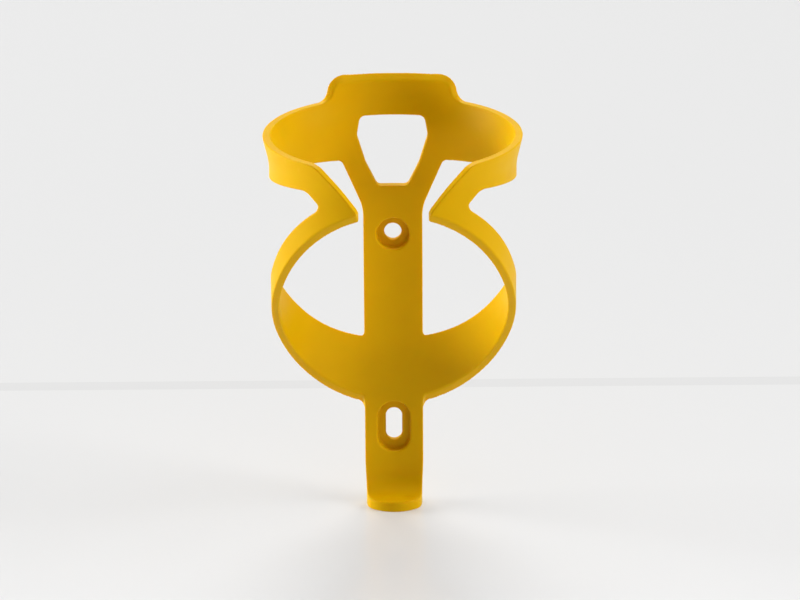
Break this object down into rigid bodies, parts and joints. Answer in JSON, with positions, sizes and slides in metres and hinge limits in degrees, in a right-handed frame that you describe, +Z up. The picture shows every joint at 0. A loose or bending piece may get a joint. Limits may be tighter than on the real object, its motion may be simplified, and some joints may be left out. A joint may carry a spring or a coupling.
{
  "type": "bicycle bottle cage",
  "caption": "Open bicycle bottle cage: a windowed back spine with a foot, a flared upper ring and a sloping lower ring joined by diagonal front links.",
  "frame": {"origin": "centre of the upper bolt hole, on the rear seat that touches the bicycle frame", "axes": "+Z up along the spine, +Y towards the bicycle frame, +X to the right seen from the open front"},
  "size_m": [0.0782, 0.0754, 0.1402],
  "materials": {
    "cage_plastic": "satin moulded, fine grain"
  },
  "bodies": {
    "root": {"crown_lip": "cage_plastic", "crown_plate": "cage_plastic", "window_strut_left": "cage_plastic", "window_strut_right": "cage_plastic", "upper_band_left": "cage_plastic", "upper_band_right": "cage_plastic", "front_link_left": "cage_plastic", "front_link_right": "cage_plastic", "lower_arm_left": "cage_plastic", "lower_arm_right": "cage_plastic", "lower_cradle": "cage_plastic", "spine_head": "cage_plastic", "upper_bolt_seat": "cage_plastic", "spine_bar": "cage_plastic", "lower_bolt_seat": "cage_plastic", "foot": "cage_plastic"}
  },
  "joints": []
}
